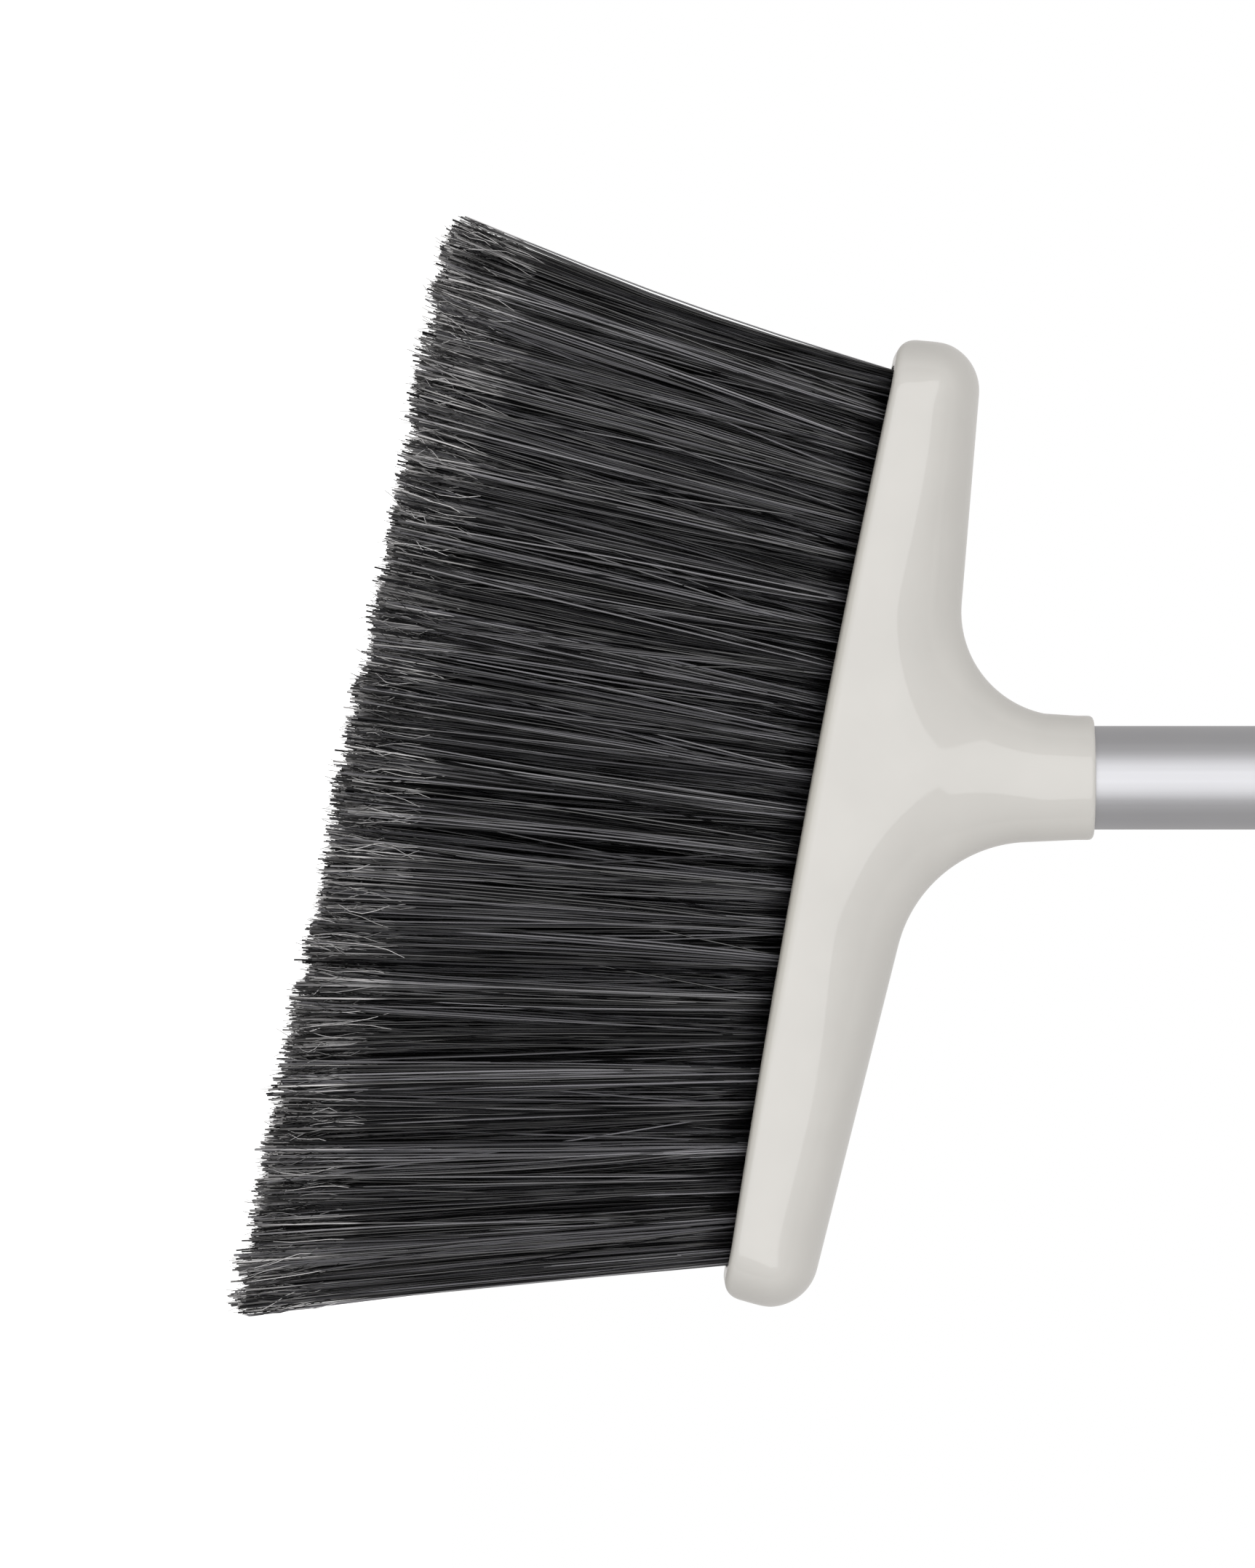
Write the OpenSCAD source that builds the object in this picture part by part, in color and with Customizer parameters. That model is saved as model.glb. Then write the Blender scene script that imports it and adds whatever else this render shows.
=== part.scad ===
// Angle broom: a tilted plastic head cap with five rows of flagged bristle tufts,
// screwed on to a round aluminium handle.
// Frame: millimetres, origin at the centre of the hanging hole, Z up along the handle,
// X along the sweep (long side of the head at +X), Y through the thickness of the head.

/* [Head] */
// Reach of the long side of the head from the handle axis
toe_reach = 127.5; // [122:0.5:136]
// Reach of the short side of the head from the handle axis
heel_reach = 109; // [106:0.5:118]
// Lean of the head bar against a square head, in degrees
bar_tilt = 10.5; // [6:0.5:13]
// Thickness of the head bar at its widest
bar_thickness = 43; // [42:0.5:48]

/* [Bristles] */
// Number of tufts in each row
tufts_per_row = 25; // [15:1:26]
// Distance between two rows where the tufts leave the block
row_pitch = 7; // [6.2:0.1:7.2]
// Radius of a tuft where it is held
tuft_root_r = 2.3; // [1.8:0.1:2.6]
// Radius of a tuft where it has spread at the tips
tuft_tip_r = 4.5; // [3:0.1:4.6]
// Length of the outermost tuft on the long side, outside the cap
toe_length = 112; // [90:1:130]
// Length of the outermost tuft on the short side, outside the cap
heel_length = 108.5; // [90:1:130]

/* [Handle] */
// Outside diameter of the handle tube
tube_d = 25; // [25:0.01:25.1]
// Wall of the handle tube
tube_wall = 1; // [0.8:0.1:1.4]
// Height of the complete broom
overall_height = 1240; // [1000:10:1400]
// Length of the soft grip
grip_length = 130; // [80:5:160]

/* [Hanging eye] */
// Diameter of the hole the broom hangs by
hang_hole_d = 9; // [7:0.5:10]
// Thickness of the hanging tab around the hole
hang_tab_t = 10; // [8:0.5:12]

/* [Screw joint] */
// Advance of the handle thread in one turn (five threads to the inch)
thread_pitch = 5.08; // [5.08:0.01:5.08]
// Crest diameter of the handle thread
thread_d = 19; // [18.6:0.1:19.2]

/* [Hidden] */
$fn = 64;

// Rows and the name of each modelled piece
row_count = 5;

// Cap outline: corner radii, then the two curves that sweep up to the neck
lip_edge_r = 5;
shoulder_r = 12;
shoulder_h = 11;
neck_r = 15.5;
heel_sweep_r = 25;
heel_sweep_h = 61.2;
toe_sweep_r = 33;
toe_sweep_h = 53;
collar_r = 15;
collar_top = 68;
collar_rim_r = 1;
bar_half = bar_thickness / 2;
crown_r = 13;
crown_start = 11;
neck_half = 17;
neck_rise_from = 6;
neck_rise_to = 20;
plan_power = 7;
blend_power = 6;
ring_points = 64;

// Cavity under the cap and the block that fills it
cap_wall = 3.7;
cavity_inset = 7.5;
cavity_depth = 16;
block_face = 3;
block_top = 14;
block_fit = 0.1;
boss_r = 17;
screw_boss_r = 5;

// Tuft holes, anchors and the spread of the tips
hole_depth = 9;
anchor_h = 2;
anchor_t = 0.5;
root_inset = 12;
heel_tip_reach = 112;
toe_tip_reach = 146;
tip_row_pitch = 9.5;
screw_tufts = [floor(tufts_per_row * 0.2), floor(tufts_per_row * 0.78)];

// Block screws
screw_shank_r = 1.7;
screw_head_r = 3.4;
screw_head_h = 2.4;
screw_len = 17;
screw_slot_w = 1;

// Screw joint, measured up the handle axis from the lip of the cap
insert_floor = 19;
insert_top = 40;
insert_r = 12;
soft_gap = 0.3;
gasket_h = 1.5;
tube_foot = insert_top + gasket_h + 2 * soft_gap;
tube_r = tube_d / 2;
tube_bore_r = tube_r - tube_wall;
socket_r = tube_r + 0.08;
thread_depth = 2.4;
thread_clearance = 0.35;
thread_end_gap = 1.5;
tip_plug_h = 30;
tip_bore_r = 4.5;
pin_r = 1.6;
pin_height = 13;
thread_step = 18;
thread_fn = 24;

// Handle top
cap_dome_h = 12;
cap_band_h = 10;
cap_r = 13.6;
plug_h = 22;
hang_tab_r = 11;
grip_r = 15.2;
grip_groove_r = 0.8;
grip_groove_pitch = 8;
grip_gap = 12;

// Heights from the hanging hole: the floor under the tips, the lip of the cap, the tube
floor_z = hang_tab_r - overall_height;
tips_to_lip = toe_tip_reach * sin(bar_tilt) + toe_length * cos(bar_tilt);
lip_z = floor_z + tips_to_lip + tuft_tip_r * sin(bar_tilt);
tube_top = -hang_tab_r - cap_dome_h;
grip_top = tube_top - grip_gap;

cap_grey = [0.80, 0.79, 0.77];
block_grey = [0.35, 0.35, 0.36];
bristle_black = [0.13, 0.13, 0.14];
metal = [0.72, 0.72, 0.74];
steel = [0.55, 0.55, 0.57];
soft_grey = [0.30, 0.30, 0.31];

// ---------- shared helpers ----------

function lerp(a, b, t) = a + (b - a) * t;

function ease(t) = let (c = min(1, max(0, t))) c * c * (3 - 2 * c);

function on_arc(centre, r, a) = centre + r * [cos(a), sin(a)];

// From handle coordinates (across, up from the lip) to the tilted bar's own
function to_bar(p) = [
    p[0] * cos(bar_tilt) - p[1] * sin(bar_tilt),
    p[0] * sin(bar_tilt) + p[1] * cos(bar_tilt)
];

// Children drawn in the tilted bar: X along it, Z up from the lip
module in_bar() {
    translate([0, 0, lip_z])
        rotate([0, bar_tilt, 0])
            children();
}

// Children drawn on the handle axis, Z up from the lip
module on_axis(height = 0) {
    translate([0, 0, lip_z + height])
        children();
}

// ---------- head cap ----------

// The two ends of one level of the cap, in bar coordinates: [short side, long side].
// Stage 0 rounds the lip, 1 the outer corners, 2 runs along the top edge,
// 3 sweeps up to the neck and 4 is the collar.
function level_ends(stage, t) =
    stage == 0 ? [
        on_arc([lip_edge_r - heel_reach, lip_edge_r], lip_edge_r, 270 - 90 * t),
        on_arc([toe_reach - lip_edge_r, lip_edge_r], lip_edge_r, 270 + 90 * t)
    ] :
    stage == 1 ? [
        on_arc([shoulder_r - heel_reach, shoulder_h], shoulder_r, 180 - 85 * t),
        on_arc([toe_reach - shoulder_r, shoulder_h], shoulder_r, 87 * t)
    ] :
    stage == 2 ? [
        lerp(level_ends(1, 1)[0], level_ends(3, 0)[0], t),
        lerp(level_ends(1, 1)[1], level_ends(3, 0)[1], t)
    ] :
    stage == 3 ? [
        to_bar(on_arc([-neck_r - heel_sweep_r + 0.5, heel_sweep_h], heel_sweep_r, -95.5 + 84 * t)),
        to_bar(on_arc([neck_r + toe_sweep_r, toe_sweep_h], toe_sweep_r, -103.7 - 72 * t))
    ] : [
        to_bar([-collar_side(t)[0], collar_side(t)[1]]),
        to_bar(collar_side(t))
    ];

// Side of the collar: straight, then a small rounded rim
function collar_side(t) =
    t < 0.5
        ? [lerp(collar_r + 0.2, collar_r, 2 * t), lerp(60, collar_top - collar_rim_r, 2 * t)]
        : on_arc([collar_r - collar_rim_r, collar_top - collar_rim_r], collar_rim_r, 180 * t - 90);

// Half thickness of the bar at height v: rounded lip, flat face, rounded crown
function bar_half_at(v) =
    v < lip_edge_r
        ? bar_half - 2 * (1 - sqrt(1 - pow((lip_edge_r - v) / lip_edge_r, 2)))
        : v < crown_start
            ? bar_half
            : let (d = min(1, (v - crown_start) / (crown_r + 4)))
              (bar_half - 3) * sqrt(1 - d * d) + 3 * (1 - d);

// Half thickness of the neck at height v: rises inside the bar, then narrows to the collar
function neck_half_at(v) =
    v < neck_rise_to
        ? neck_half * ease((v - neck_rise_from) / (neck_rise_to - neck_rise_from))
        : lerp(neck_half, collar_r, ease((v - neck_rise_to) / (60 - neck_rise_to)));

// How square the plan of the bar is at height v
function plan_power_at(v) = lerp(plan_power, 2, ease((v - 9) / 19));

// Half thickness of one level at x from its middle, with the neck blended in
function half_at(x, half_len, neck_mid, neck_len, v) =
    let (
        along = min(1, abs(x) / half_len),
        n = plan_power_at(v),
        bar = bar_half_at(v) * pow(max(0, 1 - pow(along, n)), 1 / n),
        across = min(1, abs(x - neck_mid) / neck_len),
        neck = neck_half_at(v) * sqrt(max(0, 1 - across * across))
    )
    v > 28
        ? neck
        : pow(pow(bar, blend_power) + pow(neck, blend_power), 1 / blend_power);

// One closed level of the cap as a ring of points
function cap_ring(stage, t) =
    let (
        ends = level_ends(stage, t),
        mid = (ends[0] + ends[1]) / 2,
        half_len = norm(ends[1] - ends[0]) / 2,
        dir = (ends[1] - ends[0]) / (2 * half_len),
        root = level_ends(3, 0),
        neck_mid = stage < 3 ? (root[0][0] + root[1][0]) / 2 - mid[0] : 0,
        neck_len = stage < 3 ? (root[1][0] - root[0][0]) / 2 : half_len
    )
    [for (i = [0 : ring_points - 1])
        let (
            a = 360 * i / ring_points,
            x = half_len * cos(a),
            side = sign(round(sin(a) * 1000)),
            y = stage == 4
                ? half_len * sin(a)
                : side * half_at(x, half_len, neck_mid, neck_len, mid[1])
        )
        [mid[0] + dir[0] * x, y, mid[1] + dir[1] * x]];

// Steps taken in each stage
stage_steps = [4, 7, 5, 10, 6];
cap_rings = [
    for (s = [0 : len(stage_steps) - 1])
        for (k = [(s == 0 || s == 4 ? 0 : 1) : stage_steps[s]])
            cap_ring(s, k / stage_steps[s])
];

// Rings joined by triangles and closed by a flat at each end
module skin_of_rings(rings) {
    n = len(rings[0]);
    last = len(rings) - 1;
    points = [for (r = rings) for (p = r) p];
    sides = [
        for (k = [0 : last - 1])
            for (i = [0 : n - 1])
                let (a = k * n + i, b = k * n + (i + 1) % n)
                    each [[a, a + n, b], [b, a + n, b + n]]
    ];
    ends = [
        [for (i = [0 : n - 1]) i],
        [for (i = [n - 1 : -1 : 0]) last * n + i]
    ];
    polyhedron(points, concat(sides, ends), convexity = 6);
}

// Plan of the cavity, grown or shrunk by `grow`
module cavity_plan(grow = 0) {
    mid = (toe_reach - heel_reach) / 2;
    half_len = (toe_reach + heel_reach) / 2 - cavity_inset + grow;
    half_wide = bar_half - cap_wall + grow;
    round_r = 8;
    translate([mid, 0])
        rounded_slot(half_len, half_wide, round_r);
}

// Rounded rectangle drawn from arcs
module rounded_slot(half_len, half_wide, r) {
    corners = [
        [half_len - r, half_wide - r, 0],
        [r - half_len, half_wide - r, 90],
        [r - half_len, r - half_wide, 180],
        [half_len - r, r - half_wide, 270]
    ];
    polygon([
        for (c = corners)
            for (a = [0 : 15 : 90])
                [c[0] + r * cos(c[2] + a), c[1] + r * sin(c[2] + a)]
    ]);
}

// Places of the two block screws along the bar
function screw_places() = [for (k = screw_tufts) tuft_root(middle_row(), k)[0]];

module head_cap() {
    color(cap_grey)
        difference() {
            in_bar() skin_of_rings(cap_rings);
            difference() {
                in_bar()
                    translate([0, 0, -1])
                        linear_extrude(cavity_depth + 1) cavity_plan();
                in_bar()
                    translate([0, 0, block_top])
                        cylinder(r = boss_r, h = 10);
                in_bar()
                    for (u = screw_places())
                        translate([u, 0, block_top])
                            cylinder(r = screw_boss_r, h = 10);
            }
            on_axis(insert_floor) cylinder(r = insert_r, h = 60);
            on_axis(insert_top) cylinder(r = socket_r, h = 60);
            in_bar()
                for (u = screw_places())
                    translate([u, 0, block_top - 1])
                        cylinder(r = screw_shank_r, h = screw_top() - block_top + 1);
        }
}

// ---------- tuft block and fasteners ----------

// Rows are staggered: the second and fourth stand half a pitch along and have one tuft less
function stagger(row) = row % 2 == 0 ? 0.5 : 0;

function place_along(row, k) = (k + stagger(row)) / (tufts_per_row - 1);

// Root and tip of one tuft in bar coordinates
function tuft_root(row, k) = [
    lerp(root_inset - heel_reach, toe_reach - root_inset, place_along(row, k)),
    (row - (row_count + 1) / 2) * row_pitch,
    block_face
];

function tuft_tip(row, k) =
    let (t = place_along(row, k))
    [
        lerp(-heel_tip_reach, toe_tip_reach, t),
        (row - (row_count + 1) / 2) * tip_row_pitch,
        -lerp(heel_length, toe_length, t)
    ];

function middle_row() = (row_count + 1) / 2;

// A screw takes the place of two tufts of the middle row
function is_screw(row, k) =
    row == middle_row() && len([for (s = screw_tufts) if (s == k) s]) > 0;

function tuft_numbers(row) = [
    for (k = [0 : tufts_per_row - 1 - ceil(stagger(row))])
        if (!is_screw(row, k)) k
];

// Children drawn at a tuft's root, Z pointing away from the tips
module along_tuft(row, k) {
    root = tuft_root(row, k);
    d = root - tuft_tip(row, k);
    translate(root)
        rotate([0, acos(d[2] / norm(d)), atan2(d[1], d[0])])
            rotate([0, 0, -atan2(d[1], d[0])])
                children();
}

module tuft_block() {
    color(block_grey)
        difference() {
            in_bar()
                translate([0, 0, block_face])
                    linear_extrude(block_top - block_face) cavity_plan(-block_fit);
            in_bar()
                for (row = [1 : row_count])
                    for (k = tuft_numbers(row))
                        along_tuft(row, k)
                            translate([0, 0, -2])
                                cylinder(r = tuft_root_r, h = hole_depth + 2, $fn = 24);
            in_bar()
                for (u = screw_places())
                    translate([u, 0, 0]) {
                        cylinder(r = screw_shank_r, h = block_top + 1);
                        cylinder(r = screw_head_r, h = block_face + screw_head_h);
                    }
        }
}

// One row of tufts: a straight root in its hole, then a spreading fan
module tuft_row(row) {
    color(bristle_black)
        in_bar()
            for (k = tuft_numbers(row)) {
                reach = norm(tuft_root(row, k) - tuft_tip(row, k));
                along_tuft(row, k) {
                    cylinder(r = tuft_root_r, h = hole_depth - anchor_h, $fn = 24);
                    translate([0, 0, -reach])
                        cylinder(r1 = tuft_tip_r, r2 = tuft_root_r, h = reach, $fn = 24);
                }
            }
}

// Flat wire that pins the fold of each tuft in its hole
module tuft_anchors() {
    color(steel)
        in_bar()
            for (row = [1 : row_count])
                for (k = tuft_numbers(row))
                    along_tuft(row, k)
                        translate([-tuft_root_r + 0.05, -anchor_t / 2, hole_depth - anchor_h])
                            cube([2 * tuft_root_r - 0.1, anchor_t, anchor_h]);
}

function screw_top() = block_face + screw_len;

// Two screws that hold the block in the cap
module block_screws() {
    color(steel)
        in_bar()
            for (u = screw_places())
                translate([u, 0, block_face])
                    difference() {
                        union() {
                            cylinder(r = screw_head_r, h = screw_head_h);
                            cylinder(r = screw_shank_r, h = screw_len);
                        }
                        translate([-screw_head_r, -screw_slot_w / 2, -1])
                            cube([2 * screw_head_r, screw_slot_w, 1 + screw_head_h / 2]);
                    }
}

// ---------- screw joint ----------

// A round-crested thread: a circle set off centre and twisted up the axis.
// Both threads take their angle from the same height, so they mesh when closed.
module thread_core(from, to, grow) {
    height = to - from;
    turns = height / thread_pitch;
    offset_r = thread_depth / 2;
    on_axis(from)
        rotate([0, 0, 360 * from / thread_pitch])
            linear_extrude(
                height,
                twist = -360 * turns,
                slices = ceil(360 * turns / thread_step),
                $fn = thread_fn
            )
                translate([offset_r, 0])
                    circle(r = thread_d / 2 - offset_r + grow, $fn = thread_fn);
}

module thread_insert() {
    color(block_grey)
        difference() {
            on_axis(insert_floor) cylinder(r = insert_r, h = insert_top - insert_floor);
            thread_core(insert_floor - 1, insert_top + 1, thread_clearance);
        }
}

module thread_gasket() {
    color(soft_grey)
        on_axis(insert_top + soft_gap)
            difference() {
                cylinder(r = tube_r - soft_gap, h = gasket_h);
                translate([0, 0, -1])
                    cylinder(r = thread_d / 2 + soft_gap, h = gasket_h + 2);
            }
}

module threaded_tip() {
    color(soft_grey)
        difference() {
            union() {
                thread_core(insert_floor + thread_end_gap, tube_foot + 1, 0);
                on_axis(tube_foot) cylinder(r = tube_bore_r, h = tip_plug_h);
            }
            on_axis(insert_floor) cylinder(r = tip_bore_r, h = 100);
            pin_holes();
        }
}

// Cross holes for the pins that lock the tip in the tube
module pin_holes() {
    on_axis(tube_foot + pin_height)
        rotate([90, 0, 0])
            cylinder(r = pin_r, h = 4 * tube_r, center = true);
}

module tip_pins() {
    color(steel)
        for (side = [-1, 1])
            on_axis(tube_foot + pin_height)
                rotate([side * 90, 0, 0])
                    translate([0, 0, tip_bore_r + 0.5])
                        cylinder(r = pin_r, h = tube_r - tip_bore_r - 0.6);
}

// ---------- handle ----------

module handle_tube() {
    color(metal)
        difference() {
            on_axis(tube_foot)
                difference() {
                    cylinder(r = tube_r, h = tube_top - lip_z - tube_foot);
                    translate([0, 0, -1])
                        cylinder(r = tube_bore_r, h = overall_height);
                }
            pin_holes();
        }
}

module grip_sleeve() {
    grooves = floor((grip_length - 2 * grip_groove_pitch) / grip_groove_pitch);
    color(soft_grey)
        translate([0, 0, grip_top - grip_length])
            difference() {
                rotate_extrude()
                    polygon([
                        [tube_r, 0],
                        [grip_r - 1.5, 0],
                        [grip_r, 1.5],
                        [grip_r, grip_length - 1.5],
                        [grip_r - 1.5, grip_length],
                        [tube_r, grip_length]
                    ]);
                for (k = [1 : grooves])
                    translate([0, 0, (k + 0.5) * grip_groove_pitch])
                        rotate_extrude()
                            translate([grip_r, 0])
                                circle(r = grip_groove_r, $fn = 16);
            }
}

module hang_cap() {
    color(cap_grey)
        difference() {
            union() {
                translate([0, 0, tube_top - plug_h])
                    cylinder(r = tube_bore_r, h = plug_h + 1);
                translate([0, 0, tube_top])
                    rotate_extrude()
                        polygon(concat(
                            [[0, 0], [cap_r, 0]],
                            [for (a = [0 : 10 : 90])
                                [cap_r - cap_dome_h / 2 + cap_dome_h / 2 * cos(a),
                                 cap_band_h - 4 + cap_dome_h / 2 * sin(a)]],
                            [[0, cap_band_h + 2]]
                        ));
                rotate([90, 0, 0])
                    cylinder(r = hang_tab_r, h = hang_tab_t, center = true);
                translate([-hang_tab_r, -hang_tab_t / 2, tube_top + 1])
                    cube([2 * hang_tab_r, hang_tab_t, -tube_top - 1]);
            }
            rotate([90, 0, 0])
                cylinder(d = hang_hole_d, h = 2 * hang_tab_t, center = true);
            translate([0, 0, tube_top - plug_h - 1])
                cylinder(r = tube_bore_r - 2.5, h = plug_h);
        }
}

head_cap();
tuft_block();
tuft_row(1);  // tufts_row_1
tuft_row(2);  // tufts_row_2
tuft_row(3);  // tufts_row_3
tuft_row(4);  // tufts_row_4
tuft_row(5);  // tufts_row_5
tuft_anchors();
block_screws();
thread_insert();
thread_gasket();
handle_tube();
threaded_tip();
tip_pins();
grip_sleeve();
hang_cap();
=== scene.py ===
"""Look of the angle broom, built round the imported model. Shapes are in millimetres until MM turns
them into metres; lights and camera are in metres."""

import math

import bmesh
import bpy
import numpy as np
from mathutils import Matrix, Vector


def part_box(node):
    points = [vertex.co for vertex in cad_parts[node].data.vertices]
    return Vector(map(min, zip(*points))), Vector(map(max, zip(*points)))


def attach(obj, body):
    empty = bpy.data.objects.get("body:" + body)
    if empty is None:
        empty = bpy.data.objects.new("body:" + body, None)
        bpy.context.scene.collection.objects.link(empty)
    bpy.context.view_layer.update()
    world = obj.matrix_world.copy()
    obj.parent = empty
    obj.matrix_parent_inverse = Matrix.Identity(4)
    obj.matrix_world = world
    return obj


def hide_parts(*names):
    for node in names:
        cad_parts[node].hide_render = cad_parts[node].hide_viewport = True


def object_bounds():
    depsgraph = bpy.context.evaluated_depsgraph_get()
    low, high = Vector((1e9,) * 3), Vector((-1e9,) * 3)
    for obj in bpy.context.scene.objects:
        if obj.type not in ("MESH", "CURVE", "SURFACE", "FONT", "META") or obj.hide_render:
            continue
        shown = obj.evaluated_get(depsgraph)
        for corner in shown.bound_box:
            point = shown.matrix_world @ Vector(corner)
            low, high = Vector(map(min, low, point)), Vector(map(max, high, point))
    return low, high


MM = 0.001

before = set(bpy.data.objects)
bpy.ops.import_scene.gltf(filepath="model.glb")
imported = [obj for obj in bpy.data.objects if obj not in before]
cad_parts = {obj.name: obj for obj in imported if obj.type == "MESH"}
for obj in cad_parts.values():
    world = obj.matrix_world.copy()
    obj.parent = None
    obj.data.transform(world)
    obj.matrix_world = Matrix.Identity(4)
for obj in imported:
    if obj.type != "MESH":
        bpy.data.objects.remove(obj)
cad_low, cad_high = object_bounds()

# ---------- sizes shared with the CAD model ----------

TOE_REACH = 127.5
HEEL_REACH = 109.0
TILT = math.radians(10.5)
BAR_HALF = 21.5
SHOULDER_R = 12.0
SHOULDER_H = 11.0
NECK_R = 15.5
HEEL_SWEEP_R = 25.0
HEEL_SWEEP_H = 61.2
TOE_SWEEP_R = 33.0
TOE_SWEEP_H = 53.0
COLLAR_R = 15.0
COLLAR_TOP = 68.0
CAVITY_INSET = 7.5
INSERT_FLOOR = 19.0
INSERT_TOP = 40.0
INSERT_R = 12.0
SOCKET_R = 12.58
TUBE_R = 12.5
TUBE_WALL = 1.0
TUBE_FOOT = INSERT_TOP + 2.1
PIN_HEIGHT = 13.0
PIN_R = 1.6
GRIP_R = 15.2
GROOVE_PITCH = 8.0
DOME_H = 12.0
DOME_R = 13.6
TAB_R = 11.0
TAB_HALF = 5.0
HANG_HOLE_R = 4.5
ROWS = 5
TUFTS = 25
ROW_PITCH = 7.0
TIP_ROW_PITCH = 9.5
HEEL_ROOT = -97.0
TOE_ROOT = 115.5
SCREW_TUFTS = (5, 19)
TUFT_R = 2.3

# ---------- sizes of the finer surface ----------

# Heel and toe ends of the bar: a flat bulge over a small corner at the lip
END_BULGE_R = 60.0
END_BULGE_ANGLE = 10.0
LIP_EDGE_R = 5.4
LIP_END_INSET = 0.5
END_LEAN = 0.15
# The lip, which bows towards the bristles in the middle
LIP_ENDS_H = 1.3
LIP_BOW = 1.6
LIP_BOW_REACH = 105.0
LIP_ROUND = 2.0
LIP_ROUND_H = 3.5
# How the edge is rounded: tightly along the bar, more widely in the flare, fully round in the neck
EDGE_ROUND_R = 19.5
EDGE_POWER = 2.8
NECK_FLARE_R = 27.0
ROUND_POWER = 2.0
FLARE_REACH = 85.0
FLARE_BLEND = 55.0
NECK_START = 30.0
NECK_BLEND = 28.0
# Where the cap thins from the bar to the collar, above the lip
THIN_START = 14.0
THIN_BLEND = 42.0
# The two sweeps from the bar to the neck, in degrees from +X, and the foot of the straight collar
HEEL_SWEEP_INSET = 0.5
HEEL_SWEEP = (-95.5, -11.5)
TOE_SWEEP = (-103.7, -175.7)
COLLAR_FOOT = 64.0
# The outline runs past the lip and past the collar, where other surfaces cut it
PAST_LIP = 26.0
PAST_COLLAR = 22.0
# The hollow under the tuft block
CAVITY_HALF_WIDE = 17.8
CAVITY_CORNER_R = 8.5
CAVITY_DEPTH = 15.0
# Rounding where two surfaces of the cap meet
LIP_BLEND = 1.2
COLLAR_BLEND = 1.4
CAVITY_BLEND = 4.0

# ---------- sizes of the bristles ----------

# The line of tips, the bristles' length below the lip, and how far single tips pass the line's ends
HEEL_TIP = -113.0
TOE_TIP = 147.0
HEEL_LENGTH = 109.3
TOE_LENGTH = 112.6
HEEL_STRAY = 3.8
TOE_STRAY = 4.0
FLAG_STRAY = 4.0
TIP_HALF_WIDE = 23.4
# Filaments start in their holes, this far above the lip
ROOT_H = 4.5

# How the filaments of a tuft spread: five locks to a tuft, some loose filaments, a few strays
PER_TUFT = 60
LOCKS = 5
LOOSE_SHARE = 0.3
STRAY_SHARE = 0.06
STRAY_SPREAD = 8.0
LOCK_SPREAD_U = 3.4
LOCK_SPREAD_Y = 2.0
OWN_SPREAD_U = 0.7
OWN_SPREAD_Y = 1.3
MOST_SPREAD_U = 16.0
MOST_SPREAD_Y = 6.0
TRIM_SHORT = 2.2
MOST_LOCK_TRIM = 4.0
END_TUFT_LEAN = 1.4
HEEL_SIDE_BOW = 1.6
END_TUFT_BOW = 0.4
LOCK_BOW = 0.6
OWN_BOW = 0.5
OWN_WAVE = 0.12
LOCK_TRIM = 1.3
FILAMENT_R = (0.19, 0.27)
# Split ends: where they leave the filament, as a share of its length, and their thickness
FLAG_START = (0.80, 0.95)
FLAG_R = (0.065, 0.11)

BAR_MID = (TOE_REACH - HEEL_REACH) / 2
BAR_HALF_LENGTH = (TOE_REACH + HEEL_REACH) / 2
# Heights in the shared frame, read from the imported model. The lip crosses the handle axis at LIP_Z
LIP_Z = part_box("head_cap")[1][2] / MM - COLLAR_TOP
TUBE_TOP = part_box("handle_tube")[1][2] / MM
GRIP_LOW, GRIP_HIGH = (corner[2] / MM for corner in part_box("grip_sleeve"))
# Clear of the tips when the head is screwed off, which drops it 22 mm
FLOOR_DROP = 30.0
FLOOR_Z = cad_low[2] - FLOOR_DROP * MM

rng = np.random.default_rng(11)


# ---------- small helpers ----------

def lerp(a, b, t):
    return a + (b - a) * t


def ease(t):
    """Smooth step from 0 to 1."""
    t = np.clip(t, 0, 1)
    return t * t * (3 - 2 * t)


def arc(centre, r, first, last, steps=16):
    return [on_arc(centre, r, a) for a in np.linspace(first, last, steps)]


def on_arc(centre, r, degrees):
    a = math.radians(degrees)
    return np.array([centre[0] + r * math.cos(a), centre[1] + r * math.sin(a)])


def to_bar(across, up):
    """From handle coordinates to the tilted bar's own."""
    return np.array([
        across * math.cos(TILT) - up * math.sin(TILT),
        across * math.sin(TILT) + up * math.cos(TILT),
    ])


def from_bar(u, v):
    """From the tilted bar's own coordinates to the handle's."""
    across = u * math.cos(TILT) + v * math.sin(TILT)
    up = -u * math.sin(TILT) + v * math.cos(TILT)
    return across, up


def bar_to_frame(points):
    """From bar coordinates (along, thickness, up from the lip) to metres in the shared frame."""
    u, y, v = points[..., 0], points[..., 1], points[..., 2]
    x = u * math.cos(TILT) + v * math.sin(TILT)
    z = LIP_Z - u * math.sin(TILT) + v * math.cos(TILT)
    return np.stack([x, y, z], axis=-1) * MM


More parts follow.
